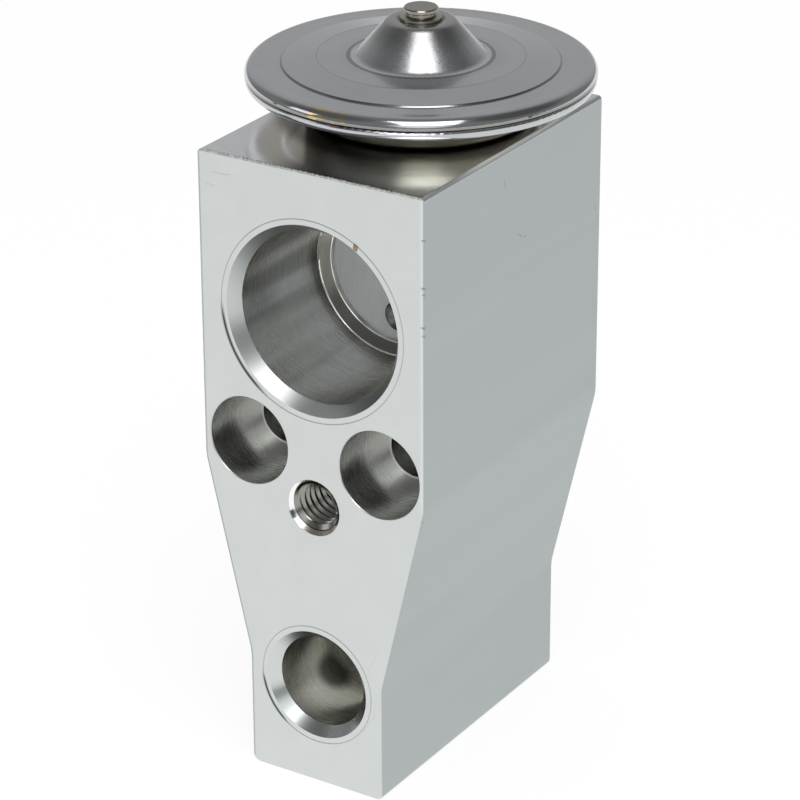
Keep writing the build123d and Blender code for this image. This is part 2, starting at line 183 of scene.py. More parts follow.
class Tree:
    """Node tree of a material or a world, with short calls for the nodes that they share."""

    def __init__(self, owner):
        owner.use_nodes = True
        self.nodes = owner.node_tree.nodes
        self.links = owner.node_tree.links

    def plug(self, socket, value):
        """Links a node's output to a socket, or sets a plain value on it."""
        if isinstance(value, bpy.types.NodeSocket):
            self.links.new(value, socket)
        else:
            socket.default_value = value

    def math(self, operation, *values):
        """One Math node."""
        node = self.nodes.new("ShaderNodeMath")
        node.operation = operation
        for socket, value in zip(node.inputs, values):
            self.plug(socket, value)
        return node.outputs[0]

    def add(self, *values):
        """Sum of all the values."""
        total = values[0]
        for value in values[1:]:
            total = self.math("ADD", total, value)
        return total

    def times(self, *values):
        """Product of all the values."""
        total = values[0]
        for value in values[1:]:
            total = self.math("MULTIPLY", total, value)
        return total

    def minus(self, first, second):
        """First less second."""
        return self.math("SUBTRACT", first, second)

    def most(self, *values):
        """Largest of the values."""
        total = values[0]
        for value in values[1:]:
            total = self.math("MAXIMUM", total, value)
        return total

    def seen(self):
        """1 for the rays of camera, gloss and transmission, 0 for those that only light."""
        path = self.nodes.new("ShaderNodeLightPath")
        return self.most(*[
            path.outputs[ray] for ray in ("Is Camera Ray", "Is Glossy Ray", "Is Transmission Ray")
        ])


class Finish(Tree):
    """Node tree of one material."""

    def __init__(self, name):
        self.material = bpy.data.materials.new(name)
        super().__init__(self.material)
        self.surface = self.nodes["Principled BSDF"]
        coordinates = self.nodes.new("ShaderNodeTexCoord")
        self.place = coordinates.outputs["Object"]
        self.x, self.y, self.z = self.split(self.place)
        self.nx, self.ny, self.nz = self.split(coordinates.outputs["Normal"])

    def split(self, vector):
        """The three numbers of a vector."""
        node = self.nodes.new("ShaderNodeSeparateXYZ")
        self.plug(node.inputs[0], vector)
        return node.outputs

    def rise(self, value, low, high):
        """Smooth step from 0 at low to 1 at high. It falls instead where high is the lower."""
        node = self.nodes.new("ShaderNodeMapRange")
        node.interpolation_type = "SMOOTHSTEP"
        node.inputs["To Min"].default_value = 0.0 if low < high else 1.0
        node.inputs["To Max"].default_value = 1.0 if low < high else 0.0
        node.inputs["From Min"].default_value = min(low, high)
        node.inputs["From Max"].default_value = max(low, high)
        self.plug(node.inputs["Value"], value)
        return node.outputs["Result"]

    def line(self, value, middle, half_width):
        """Smooth ridge of height 1 at the middle, 0 beyond the half width."""
        off = self.math("ABSOLUTE", self.minus(value, middle))
        return self.rise(off, half_width, 0.0)

    def band(self, value, low, high, soft):
        """1 between low and high, with soft edges outside them."""
        return self.times(self.rise(value, low - soft, low), self.rise(value, high + soft, high))

    def towards(self, direction):
        """Cosine between a direction and the line from the object's origin."""
        line = self.nodes.new("ShaderNodeVectorMath")
        line.operation = "NORMALIZE"
        self.plug(line.inputs[0], self.place)
        node = self.nodes.new("ShaderNodeVectorMath")
        node.operation = "DOT_PRODUCT"
        self.plug(node.inputs[0], line.outputs[0])
        node.inputs[1].default_value = direction
        return node.outputs["Value"]

    def round_axis(self, first, second, first_middle=0.0, second_middle=0.0):
        """Distance from an axis, given the two coordinates across it."""
        across = self.minus(first, first_middle)
        up = self.minus(second, second_middle)
        return self.math("SQRT", self.add(self.times(across, across), self.times(up, up)))

    def noise(self, scales, detail=3.0, roughness=0.55, shift=0.0):
        """Noise with one scale or one for each axis, as cycles in a metre."""
        if isinstance(scales, float):
            scales = (scales, scales, scales)
        mapping = self.nodes.new("ShaderNodeMapping")
        self.plug(mapping.inputs["Vector"], self.place)
        mapping.inputs["Scale"].default_value = scales
        mapping.inputs["Location"].default_value = (shift, shift, shift)
        node = self.nodes.new("ShaderNodeTexNoise")
        self.plug(node.inputs["Vector"], mapping.outputs[0])
        node.inputs["Scale"].default_value = 1.0
        node.inputs["Detail"].default_value = detail
        node.inputs["Roughness"].default_value = roughness
        return node.outputs[0]

    def rings(self, radius, cycles, shift=0.0):
        """Uneven rings, by noise along one number such as a radius or a depth."""
        node = self.nodes.new("ShaderNodeTexNoise")
        node.noise_dimensions = "1D"
        self.plug(node.inputs["W"], self.add(self.times(radius, cycles), shift))
        node.inputs["Scale"].default_value = 1.0
        node.inputs["Detail"].default_value = 2.0
        return node.outputs[0]

    def specks(self, spacing, size, shift=0.0):
        """Sparse round specks, 1 in the middle of each."""
        mapping = self.nodes.new("ShaderNodeMapping")
        self.plug(mapping.inputs["Vector"], self.place)
        mapping.inputs["Location"].default_value = (shift, shift, shift)
        node = self.nodes.new("ShaderNodeTexVoronoi")
        self.plug(node.inputs["Vector"], mapping.outputs[0])
        node.inputs["Scale"].default_value = 1.0 / spacing
        return self.rise(node.outputs["Distance"], size / spacing, 0.0)

    def scratch(self, first, second, start, end, half_width):
        """Thin straight mark between two points, given as pairs of the two coordinates."""
        run = (end[0] - start[0], end[1] - start[1])
        length = math.hypot(*run)
        over, up = self.minus(first, start[0]), self.minus(second, start[1])
        along = self.add(self.times(over, run[0] / length), self.times(up, run[1] / length))
        off = self.minus(self.times(up, run[0] / length), self.times(over, run[1] / length))
        off = self.math("ABSOLUTE", off)
        ends = self.band(along, 0.12 * length, 0.88 * length, 0.12 * length)
        return self.times(self.rise(off, half_width, 0.3 * half_width), ends)

    def tint(self, share, first, second):
        """Colour between first and second."""
        node = self.nodes.new("ShaderNodeMix")
        node.data_type = "RGBA"
        node.clamp_factor = True
        self.plug(node.inputs["Factor"], share)
        for socket, colour in ((node.inputs["A"], first), (node.inputs["B"], second)):
            if not isinstance(colour, bpy.types.NodeSocket):
                colour = (*colour[:3], 1.0)
            self.plug(socket, colour)
        return node.outputs["Result"]

    def blend(self, share, first, second):
        """Number between first and second."""
        node = self.nodes.new("ShaderNodeMix")
        node.clamp_factor = True
        self.plug(node.inputs["Factor"], share)
        self.plug(node.inputs["A"], first)
        self.plug(node.inputs["B"], second)
        return node.outputs["Result"]

    def coats(self, colour, *layers):
        """Colour with further ones laid over it in turn, each given as (share, colour)."""
        for share, over in layers:
            colour = self.tint(share, colour, over)
        return colour

    def levels(self, number, *layers):
        """Number with further ones laid over it in turn, each given as (share, number)."""
        for share, over in layers:
            number = self.blend(share, number, over)
        return number

    def relief(self, *layers):
        """Bump from layers of (height from 0 to 1, height in metres)."""
        total = self.add(*[self.times(height, depth / MM) for height, depth in layers])
        bump = self.nodes.new("ShaderNodeBump")
        bump.inputs["Strength"].default_value = 1.0
        bump.inputs["Distance"].default_value = MM
        self.plug(bump.inputs["Height"], total)
        self.plug(self.surface.inputs["Normal"], bump.outputs[0])

    def metal(self, colour, roughness, metallic=1.0):
        """Sets the surface's main sockets and gives the material."""
        if not isinstance(colour, bpy.types.NodeSocket):
            colour = (*colour[:3], 1.0)
        self.plug(self.surface.inputs["Base Color"], colour)
        self.plug(self.surface.inputs["Roughness"], roughness)
        self.plug(self.surface.inputs["Metallic"], metallic)
        return self.material


def scaled(colour, factor):
    """Colour made lighter or darker."""
    return tuple(channel * factor for channel in colour)


def dress(node_name, material):
    """Gives one of the frame's nodes its finish."""
    mesh = frame["nodes"][node_name].data
    mesh.materials.clear()
    mesh.materials.append(material)


# Finishes of the block

# Half width of the block's foot, and the heights between which it widens to its head
FOOT_HALF, ANKLE, SHOULDER = 9.22 * MM, 14.8 * MM, 39.3 * MM
# Depth and turn within which a point counts as lying on a flat face
FACE_DEEP, FACE_NEAR = 0.2 * MM, 0.05 * MM
FACE_TURNED, FACE_FLAT = 0.9, 0.98
# Radii of the mouths of the ports and holes, and depths of the ports' chamfers
SUCTION_MOUTH, LIQUID_MOUTH, STUD_MOUTH, BOLT_MOUTH = 11.6 * MM, 6.95 * MM, 3.5 * MM, 3.55 * MM
SUCTION_CHAMFER, LIQUID_CHAMFER = 1.6 * MM, 1.2 * MM
# Radii of the step and of the wall at the end of the suction port
STEP_RADIUS, WEB_RADIUS = 10.4 * MM, 8.85 * MM
# A height between the two ports
BETWEEN_PORTS = 30.0 * MM
EDGE_SOFT = 0.03 * MM

# Marks on the front face, as x and height in millimetres from start to end
FRONT_SCRATCHES = (
    ((-13.4, 74.7), (-10.4, 74.85)),
    ((-14.2, 73.3), (-12.6, 73.1)),
    ((-4.5, 47.5), (-2.6, 49.3)),
    ((5.6, 9.8), (7.9, 13.4)),
    ((6.4, 8.4), (8.4, 11.6)),
    ((7.2, 16.8), (8.6, 19.6)),
)
# Dent beside the stud hole's mouth, as x and height in millimetres from start to end
MOUTH_DENT = ((-3.3, 35.0), (-2.8, 34.0))
# Short dark marks on the side face, as y and height in millimetres from start to end
SIDE_SCRATCHES = (
    ((-2.6, 73.9), (-2.3, 72.6)),
    ((0.6, 66.3), (1.5, 65.7)),
    ((1.7, 65.6), (2.3, 65.5)),
    ((18.3, 63.9), (18.5, 63.2)),
)
# Nicks on the right front edge, as height and size in millimetres
EDGE_NICKS = ((72.3, 0.4), (66.7, 0.45), (65.9, 0.3), (62.0, 0.45), (61.0, 0.3), (38.1, 0.4))
# Middle of the dark stain on the wall of the liquid port, as x, y and height in millimetres
LIQUID_STAIN = (-4.1, -9.8, 8.9)

# Colours of the block's marks, edges and bores, and of the highlights, shade and reflection painted
# on it
WHITE = (1.0, 1.0, 1.0)
EDGE_PALE = (0.83, 0.88, 0.92)
CORNER_PALE = (0.72, 0.75, 0.77)
MOUTH_BRIGHT = (0.97, 0.97, 0.95)
BOLT_BRIGHT = (0.98, 0.98, 0.96)
BEND_BRIGHT = (0.95, 0.95, 0.93)
DOT_GREY = (0.40, 0.40, 0.38)
SCRATCH_GREY = (0.38, 0.40, 0.40)
NICK_GREY = (0.34, 0.35, 0.36)
BURR_GREY = (0.26, 0.27, 0.25)
SCORE_GREY = (0.24, 0.25, 0.25)
SIDE_SCRATCH_GREY = (0.22, 0.24, 0.24)
DENT_DARK = (0.14, 0.145, 0.145)
STAIN_DARK = (0.12, 0.12, 0.11)
CRESCENT_BLACK = (0.05, 0.05, 0.05)
OIL_BROWN = (0.74, 0.58, 0.30)
BORE_PALE = (0.80, 0.81, 0.79)
BORE_STREAK = (0.6, 0.6, 0.57)
LIQUID_GREY = (0.74, 0.74, 0.70)
STUD_DARK = (0.2, 0.2, 0.19)
WEB_GREY = (0.82, 0.855, 0.88)
STEP_DARK, STEP_PALE = (0.24, 0.235, 0.21), (0.78, 0.79, 0.78)
TOP_GREY, TOP_PALE = (0.80, 0.82, 0.83), (0.88, 0.90, 0.91)
TOP_SHADE = (0.20, 0.195, 0.19)


def face_share(f, along, normal, place, sign):
    """1 on the flat face at a place along an axis, where the normal has the sign given."""
    return f.times(
        f.rise(along, place - sign * FACE_DEEP, place - sign * FACE_NEAR),
        f.rise(normal, sign * FACE_TURNED, sign * FACE_FLAT),
    )


def face_marks(f, across, marks, half_width):
    """Scratches on an upright face."""
    return f.most(*[
        f.scratch(across, f.z, (a[0] * MM, a[1] * MM), (b[0] * MM, b[1] * MM), half_width)
        for a, b in marks
    ])


def edge_marks(f, marks):
    """Flat nicks down the right front edge."""
    squash = 3.0
    flat = f.times(f.z, squash)
    return f.most(*[
        f.rise(
            f.round_axis(f.x, flat, BLOCK_HIGH.x - 0.1 * MM, squash * height * MM),
            size * MM, 0.5 * size * MM,
        )
        for height, size in marks
    ])


def block_faces(f, m):
    """Where the block's faces and outer edges lie, as shares from 0 to 1."""
    slope = (BLOCK_HIGH.x - FOOT_HALF) / (SHOULDER - ANKLE)
    taper = f.add(f.times(f.minus(f.z, ANKLE), slope), FOOT_HALF)
    outline = f.math("MINIMUM", f.most(taper, FOOT_HALF), BLOCK_HIGH.x)
    inside = f.minus(outline, f.math("ABSOLUTE", f.x))
    m.side = f.rise(inside, 0.25 * MM, 0.12 * MM)
    m.front = face_share(f, f.y, f.ny, FRONT_Y, -1)
    m.top = face_share(f, f.z, f.nz, TOP_Z, 1)
    m.ends = f.most(m.front, face_share(f, f.y, f.ny, -FRONT_Y, 1))
    # Painted highlight: a pale strip along the right front edge
    m.edge_strip = f.times(
        m.front,
        f.rise(inside, 0.7 * MM, 0.45 * MM),
        f.rise(f.x, 0.0, 1.0 * MM),
        f.rise(f.z, 38.0 * MM, 41.0 * MM),
    )
    m.dark_edge = f.times(m.front, f.rise(inside, 0.3 * MM, 0.1 * MM), f.rise(f.x, 1.0 * MM, 0.0))
    m.corner = f.times(
        f.rise(f.math("ABSOLUTE", f.nx), 0.06, 0.2),
        f.rise(f.nz, 0.06, 0.2),
        f.rise(f.z, TOP_Z - 0.8 * MM, TOP_Z - 0.6 * MM),
    )


def block_bores(f, m):
    """Where the block's bores, steps and chamfers lie, as shares from 0 to 1."""
    m.suction_r = f.round_axis(f.x, f.z, 0.0, SUCTION_Z)
    m.liquid_r = f.round_axis(f.x, f.z, 0.0, LIQUID_Z)
    stud_r = f.round_axis(f.x, f.z, 0.0, STUD_Z)
    bolt_r = f.round_axis(f.math("ABSOLUTE", f.x), f.z, BOLT_X, BOLT_Z)
    suction_end = FRONT_Y + SUCTION_CHAMFER
    liquid_end = FRONT_Y + LIQUID_CHAMFER
    lip = f.times(f.rise(f.y, suction_end + 0.15 * MM, suction_end), f.minus(1.0, m.front))
    m.chamfer = f.times(
        lip,
        f.most(
            f.band(m.suction_r, SUCTION_RADIUS + 0.02 * MM, SUCTION_MOUTH, EDGE_SOFT),
            f.times(
                f.band(m.liquid_r, LIQUID_RADIUS + 0.02 * MM, LIQUID_MOUTH, EDGE_SOFT),
                f.rise(f.y, liquid_end + 0.1 * MM, liquid_end),
            ),
        ),
    )
    facing = f.math("ABSOLUTE", f.ny)
    inner = f.times(f.rise(facing, 0.85, 0.95), f.minus(1.0, m.ends))
    m.web = f.times(inner, f.rise(m.suction_r, WEB_RADIUS + 0.1 * MM, WEB_RADIUS))
    m.step = f.times(inner, f.band(m.suction_r, WEB_RADIUS + 0.1 * MM, STEP_RADIUS, 0.1 * MM))
    # Painted highlight: the bends at the step in the suction port are near white
    m.step_bend = f.times(
        f.band(facing, 0.35, 0.82, 0.1),
        f.band(m.suction_r, WEB_RADIUS - 0.25 * MM, STEP_RADIUS + 0.15 * MM, 0.1 * MM),
        f.rise(f.math("ABSOLUTE", f.minus(f.y, AXIS_Y)), 6.6 * MM, 6.4 * MM),
    )
    m.wide_bore = f.rise(m.suction_r, SUCTION_RADIUS + 0.3 * MM, SUCTION_RADIUS + 0.1 * MM)
    m.liquid_bore = f.rise(m.liquid_r, LIQUID_RADIUS + 0.25 * MM, LIQUID_RADIUS + 0.05 * MM)
    m.stud = f.times(
        f.rise(stud_r, STUD_RADIUS + 0.08 * MM, STUD_RADIUS + 0.02 * MM), f.minus(1.0, m.ends)
    )
    # Painted highlight: the stud hole's mouth is near white
    m.stud_mouth = f.times(
        lip, f.band(stud_r, STUD_RADIUS + 0.1 * MM, STUD_MOUTH + 0.1 * MM, 0.04 * MM)
    )
    # Painted highlight: a near-white ring at the edge of the bolt holes
    m.bolt_edge = f.times(inner, f.band(bolt_r, BOLT_MOUTH - 0.25 * MM, BOLT_MOUTH, EDGE_SOFT))


def crescent(f, radius, height, score, half_width, start, full):
    """Painted shade: dark crescent along the lower left of a port's score ring, where the groove
    lies in shade.
    """
    low_left = f.add(f.times(f.x, -0.86), f.times(f.minus(f.z, height), -0.5))
    return f.times(f.line(radius, score, half_width), f.rise(low_left, start, full))


def block_marks(f, m, sizes):
    """Where the block's scratches, rings, nicks, burr and stains lie, with the painted shade beside
    the score rings and the painted warm reflection in the stud hole's mouth, as shares from 0 to 1.
    """
    m.scratches = f.times(m.front, face_marks(f, f.x, FRONT_SCRATCHES, 0.05 * MM))
    m.side_scratches = f.times(
        m.side, f.rise(f.x, 0.0, MM), face_marks(f, f.y, SIDE_SCRATCHES, 0.13 * MM)
    )
    m.nicks = f.times(
        edge_marks(f, EDGE_NICKS), f.rise(f.y, FRONT_Y + 0.4 * MM, FRONT_Y + 0.1 * MM)
    )
    suction, liquid = sizes.suction_score, sizes.liquid_score
    m.scores = f.times(
        m.front,
        f.most(
            f.line(m.suction_r, suction, 0.1 * MM),
            f.line(m.liquid_r, liquid, 0.09 * MM),
        ),
    )
    m.crescents = f.times(
        m.front,
        f.most(
            crescent(
                f, m.suction_r, SUCTION_Z, suction - 0.08 * MM, 0.36 * MM,
                suction - 1.9 * MM, suction - 0.7 * MM,
            ),
            crescent(
                f, m.liquid_r, LIQUID_Z, liquid - 0.05 * MM, 0.3 * MM,
                liquid - 1.0 * MM, liquid - 0.4 * MM,
            ),
        ),
    )
    teeth = f.rise(f.noise((2300.0, 300.0, 300.0), detail=1.0, shift=5.7), 0.42, 0.52)
    m.burr_line = f.times(
        m.front,
        f.rise(f.z, TOP_Z - 0.34 * MM, TOP_Z - 0.14 * MM),
        f.add(0.5, f.times(teeth, 0.5)),
    )
    m.dent = f.times(
        face_marks(f, f.x, (MOUTH_DENT,), 0.36 * MM),
        f.rise(f.y, FRONT_Y + 0.5 * MM, FRONT_Y + 0.4 * MM),
    )
    # Painted reflection of a warm light, low on the right of the stud hole's mouth
    m.oil = f.times(
        f.rise(f.z, STUD_Z - 1.6 * MM, STUD_Z - 2.6 * MM), f.rise(f.x, -1.6 * MM, -0.6 * MM)
    )
    offsets = [f.minus(place, middle * MM) for place, middle in zip((f.x, f.y, f.z), LIQUID_STAIN)]
    stain_off = f.math("SQRT", f.add(*[f.times(offset, offset) for offset in offsets]))
    m.liquid_stain = f.rise(stain_off, 3.2 * MM, 1.4 * MM)


def block_grains(f, m):
    """Noises of the milled, extruded and turned surfaces, the wide bore's painted shade bands and
    the painted shade round the head's seat.
    """
    head_r = f.round_axis(f.x, f.y, 0.0, AXIS_Y)
    m.patches = f.noise(260.0, detail=4.0)
    m.grain = f.noise(5200.0, detail=2.0)
    m.brushed = f.noise((700.0, 700.0, 9000.0), detail=2.0, shift=3.1)
    m.streak = f.noise((200.0, 16.0, 1500.0), detail=4.0, roughness=0.65)
    m.broad_streak = f.noise((60.0, 9.0, 210.0), detail=2.0, shift=1.7)
    m.turned_rings = f.rings(f.y, 1100.0)
    m.dots = f.specks(3.6 * MM, 0.11 * MM)
    m.swirl = f.rings(head_r, 900.0, shift=4.0)
    # Painted shade on the top face round the head's seat
    m.seat_shade = f.rise(head_r, 18.0 * MM, 15.5 * MM)
    m.bore_bands = f.noise((230.0, 12.0, 230.0), detail=2.0, shift=6.3)
    m.bore_streaks = f.noise((1500.0, 60.0, 1500.0), detail=2.0, shift=1.3)
    m.wall_grain = f.noise((3200.0, 3200.0, 320.0), detail=2.0, shift=2.9)


def block_colour(f, m, finishes):
    """Colour of the block from its faces, bores and marks, with the highlights, shade and warm
    reflection painted on it.
    """
    milled = f.coats(
        f.tint(f.times(m.patches, 0.35), finishes.milled, scaled(finishes.milled, 0.88)),
        # Painted highlight along the right front edge
        (f.times(m.edge_strip, 0.4), EDGE_PALE),
        (f.times(m.dark_edge, 0.4), scaled(finishes.milled, 0.6)),
        (f.times(m.dots, 0.5, f.rise(m.patches, 0.48, 0.58)), DOT_GREY),
        (f.times(m.scratches, 0.35), SCRATCH_GREY),
        (f.times(m.scores, 0.6), SCORE_GREY),
        # Painted shade beside the score rings
        (m.crescents, CRESCENT_BLACK),
        (f.times(m.burr_line, 0.75), BURR_GREY),
    )
    # Extruded sides, darkened partly as painted shade
    extruded = f.coats(
        f.tint(m.streak, scaled(finishes.extruded, 0.92), scaled(finishes.extruded, 1.07)),
        (f.times(m.broad_streak, 0.5), scaled(finishes.extruded, 0.86)),
        (f.times(m.dots, 0.6, f.rise(m.patches, 0.48, 0.6)), SCORE_GREY),
        (f.times(m.side_scratches, 0.5), SIDE_SCRATCH_GREY),
    )
    # Painted shade and reflection: soft dark and pale bands of noise on the wide bore's wall
    banded = f.tint(f.rise(m.bore_bands, 0.35, 0.65), scaled(finishes.turned, 0.62), BORE_PALE)
    bored = f.coats(
        f.tint(m.turned_rings, scaled(finishes.turned, 0.97), scaled(finishes.turned, 1.03)),
        (m.wide_bore, banded),
        (f.times(m.bore_streaks, 0.15), BORE_STREAK),
        (m.liquid_bore, LIQUID_GREY),
        (f.times(m.liquid_bore, m.liquid_stain, 0.85), STAIN_DARK),
        # Painted shade: the stud hole's wall is dark
        (m.stud, STUD_DARK),
    )
    # Painted shade and light: the step in the suction port is dark low down and pale high up
    high_step = f.rise(f.minus(f.z, SUCTION_Z), 1.0 * MM, 7.0 * MM)
    return f.coats(
        f.tint(m.ends, bored, milled),
        (m.web, f.tint(m.wall_grain, WEB_GREY, WHITE)),
        (m.step, f.tint(high_step, STEP_DARK, STEP_PALE)),
        # Painted highlight on the step's bends
        (m.step_bend, BEND_BRIGHT),
        # Painted shade darkens the top face round the head's seat
        (m.top, f.tint(f.times(m.seat_shade, 0.9), f.tint(m.swirl, TOP_GREY, TOP_PALE), TOP_SHADE)),
        (m.chamfer, scaled(finishes.milled, 0.92)),
        # Painted highlight on the stud hole's mouth, with a painted warm reflection low on its
        # right
        (m.stud_mouth, f.tint(f.times(m.oil, 0.6), MOUTH_BRIGHT, OIL_BROWN)),
        (f.times(m.dent, 0.9), DENT_DARK),
        (m.bolt_edge, BOLT_BRIGHT),
        (m.side, extruded),
        (m.corner, CORNER_PALE),
        (f.times(m.nicks, 0.7), NICK_GREY),
    )


def block_roughness(f, m):
    """Roughness of the block from its faces and bores."""
    bored = f.add(0.25, f.times(m.turned_rings, 0.05))
    milled = f.add(0.34, f.times(m.patches, 0.1))
    return f.levels(
        f.blend(m.ends, bored, milled),
        (m.web, 0.62),
        (m.step, 0.16),
        (m.step_bend, 0.14),
        (m.top, f.add(0.15, f.times(m.swirl, 0.08))),
        (m.chamfer, f.blend(f.rise(f.z, BETWEEN_PORTS, BETWEEN_PORTS + MM), 0.25, 0.35)),
        (m.stud_mouth, 0.2),
        (m.bolt_edge, 0.5),
        (m.side, f.add(0.4, f.times(m.streak, 0.14))),
        (m.corner, 0.5),
    )


def block_finish(finishes, sizes):
    """Bare aluminium: milled ends and top, extruded sides, turned bores and bright chamfers."""
    f = Finish("block_aluminium")
    m = SimpleNamespace()
    block_faces(f, m)
    block_bores(f, m)
    block_marks(f, m, sizes)
    block_grains(f, m)
    f.relief(
        (f.times(m.ends, m.grain), 0.0026 * MM),
        (f.times(m.ends, m.brushed), 0.0022 * MM),
        (f.times(m.side, m.streak), 0.0030 * MM),
        (f.times(m.side, m.grain), 0.0016 * MM),
        (f.times(m.top, m.swirl), 0.0012 * MM),
        (f.times(f.minus(1.0, f.most(m.ends, m.side, m.top)), m.turned_rings), 0.0004 * MM),
        (f.times(m.scores, -1.0), 0.03 * MM),
        (f.times(m.scratches, -1.0), 0.008 * MM),
        (f.times(m.nicks, -1.0), 0.04 * MM),
        (f.times(m.dots, m.side, -1.0), 0.01 * MM),
        (f.times(m.web, m.wall_grain), 0.002 * MM),
    )
    metallic = f.blend(m.web, 1.0, 0.05)
    return f.metal(block_colour(f, m, finishes), block_roughness(f, m), metallic)


# Finishes of the head

# Radii of the disc's outer step and of the cone's foot
DISC_EDGE, CONE_FOOT = 16.05 * MM, 8.2 * MM
# How much the disc seems to fall towards its rim, in height over width
CROWN_FALL = 0.045

# Colours of the head's tints and marks, and of the light, shade and warm reflection painted on it
CONE_TINT = (0.48, 0.44, 0.46)
FOOT_DARK = (0.16, 0.155, 0.14)
DOME_GREY = (0.36, 0.36, 0.34)
WELD_DARK = (0.10, 0.10, 0.08)
RING_DARK = (0.2, 0.2, 0.21)
PIT_DARK = (0.2, 0.17, 0.16)
SEAM_DARK = (0.25, 0.245, 0.225)
SPECK_GOLD = (0.78, 0.60, 0.26)
CASE_PALE, CASE_STAINED = (0.80, 0.78, 0.69), (0.20, 0.18, 0.15)
WELD_GREY = (0.42, 0.41, 0.36)


def cover_finish(finishes, sizes):
    """Pressed stainless steel: satin disc, fine ring, speckled cone and polished rim, with painted
    shade at the cone's foot and top, at the disc's step and partly at the seam, and a painted warm
    reflection on the rim.
    """
    f = Finish("head_steel_cover")
    radius = f.round_axis(f.x, f.y, 0.0, AXIS_Y)
    rim = f.rise(radius, HEAD_RADIUS - 1.05 * MM, HEAD_RADIUS - 0.75 * MM)
    # Dark joint at the foot of the cover, partly painted shade of the roll's lower side
    seam = f.rise(f.z, HEAD_LOW.z + 0.4 * MM, HEAD_LOW.z + 0.2 * MM)
    near_cone = f.band(radius, 7.4 * MM, 9.0 * MM, 1.2 * MM)
    cone = f.band(radius, 3.8 * MM, 7.9 * MM, 0.5 * MM)
    # Painted shade in the crease at the cone's foot
    foot_ring = f.band(radius, 8.15 * MM, 8.5 * MM, 0.15 * MM)
    # Painted shade: the top of the cone is darker
    dome_top = f.rise(radius, 6.6 * MM, 4.6 * MM)
    weld_ring = f.rise(radius, 2.9 * MM, 2.6 * MM)
    # Painted shade: a dark line at the disc's outer step
    step_line = f.line(radius, DISC_EDGE, 0.2 * MM)
    score = f.line(radius, sizes.disc_score, 0.09 * MM)
    speckle = f.noise(2600.0, detail=3.0)
    haze = f.noise(180.0, detail=3.0, shift=2.2)
    rolled = f.noise((4200.0, 260.0, 260.0), detail=2.0)
    pits = f.specks(4.2 * MM, 0.16 * MM, shift=0.013)
    # Painted reflection of a warm light on the front of the rim
    golden = f.times(
        rim,
        f.band(f.x, -2.6 * MM, 2.4 * MM, 0.5 * MM),
        f.rise(f.y, AXIS_Y, AXIS_Y - 2.0 * MM),
        f.rise(f.noise((700.0, 700.0, 2400.0), detail=2.0, shift=7.1), 0.49, 0.58),
    )
    steel = f.coats(
        f.tint(haze, scaled(finishes.steel, 0.92), scaled(finishes.steel, 1.06)),
        (f.times(near_cone, 0.3), CONE_TINT),
        (cone, scaled(finishes.steel, 1.18)),
        (f.times(foot_ring, 0.7), FOOT_DARK),
        (f.times(dome_top, 0.8), DOME_GREY),
        (f.times(weld_ring, 0.9), WELD_DARK),
        (f.times(step_line, 0.6), RING_DARK),
        (f.times(score, 0.5), RING_DARK),
        (f.times(pits, 0.8, f.rise(haze, 0.56, 0.64)), PIT_DARK),
        (f.times(seam, 0.8), SEAM_DARK),
        (f.times(golden, 0.7), SPECK_GOLD),
    )
    roughness = f.levels(
        f.add(0.14, f.times(haze, 0.06)),
        (cone, f.add(0.22, f.times(speckle, 0.12))),
        (rim, 0.12),
    )
    crown = f.math("MINIMUM", f.most(radius, CONE_FOOT), HEAD_RADIUS - 2.0 * MM)
    f.relief(
        (f.times(crown, -CROWN_FALL / MM), MM),
        (f.times(speckle, f.blend(cone, 0.25, 1.0), f.minus(1.0, rim)), 0.0060 * MM),
        (f.times(rolled, f.minus(1.0, rim)), 0.0008 * MM),
        (f.times(f.line(radius, sizes.disc_score, 0.08 * MM), -1.0), 0.02 * MM),
    )
    return f.metal(steel, roughness)


def case_finish(finishes):
    """Pressed stainless steel of the lower case, polished at its rim, with painted light and shade
    on its flank and underside.
    """
    f = Finish("head_steel_case")
    radius = f.round_axis(f.x, f.y, 0.0, AXIS_Y)
    rim = f.rise(radius, HEAD_RADIUS - 1.6 * MM, HEAD_RADIUS - 0.9 * MM)
    haze = f.noise(220.0, detail=3.0, shift=4.1)
    under = f.band(radius, 16.2 * MM, HEAD_RADIUS - 1.2 * MM, 0.3 * MM)
    flank = f.rise(radius, 16.0 * MM, 15.6 * MM)
    # Painted light and shade: the flank and underside are pale on the right and dark on the left
    stained = f.rise(f.x, 3.0 * MM, -5.0 * MM)
    steel = f.coats(
        f.tint(haze, scaled(finishes.steel, 0.9), scaled(finishes.steel, 1.05)),
        (f.most(flank, under), f.tint(stained, CASE_PALE, CASE_STAINED)),
    )
    roughness = f.blend(rim, f.add(0.1, f.times(haze, 0.06)), 0.12)
    f.relief((f.rings(radius, 2600.0), 0.0008 * MM))
    return f.metal(steel, roughness)


def plug_finish(finishes):
    """Turned steel of the plug, with the dull weld round its foot."""
    f = Finish("plug_steel")
    speckle = f.noise(2400.0, detail=3.0)
    weld = f.rise(f.z, PLUG_TOP - 0.75 * MM, PLUG_TOP - 0.95 * MM)
    face = f.rise(f.nz, 0.8, 0.95)
    colour = f.tint(speckle, scaled(finishes.plug, 0.85), scaled(finishes.plug, 1.25))
    colour = f.tint(weld, colour, WELD_GREY)
    roughness = f.blend(face, f.blend(weld, 0.16, 0.34), f.add(0.26, f.times(speckle, 0.1)))
    f.relief((speckle, 0.008 * MM))
    return f.metal(colour, roughness)


# Finishes of the inner pieces

STEEL_BRIGHT = (0.62, 0.62, 0.62)


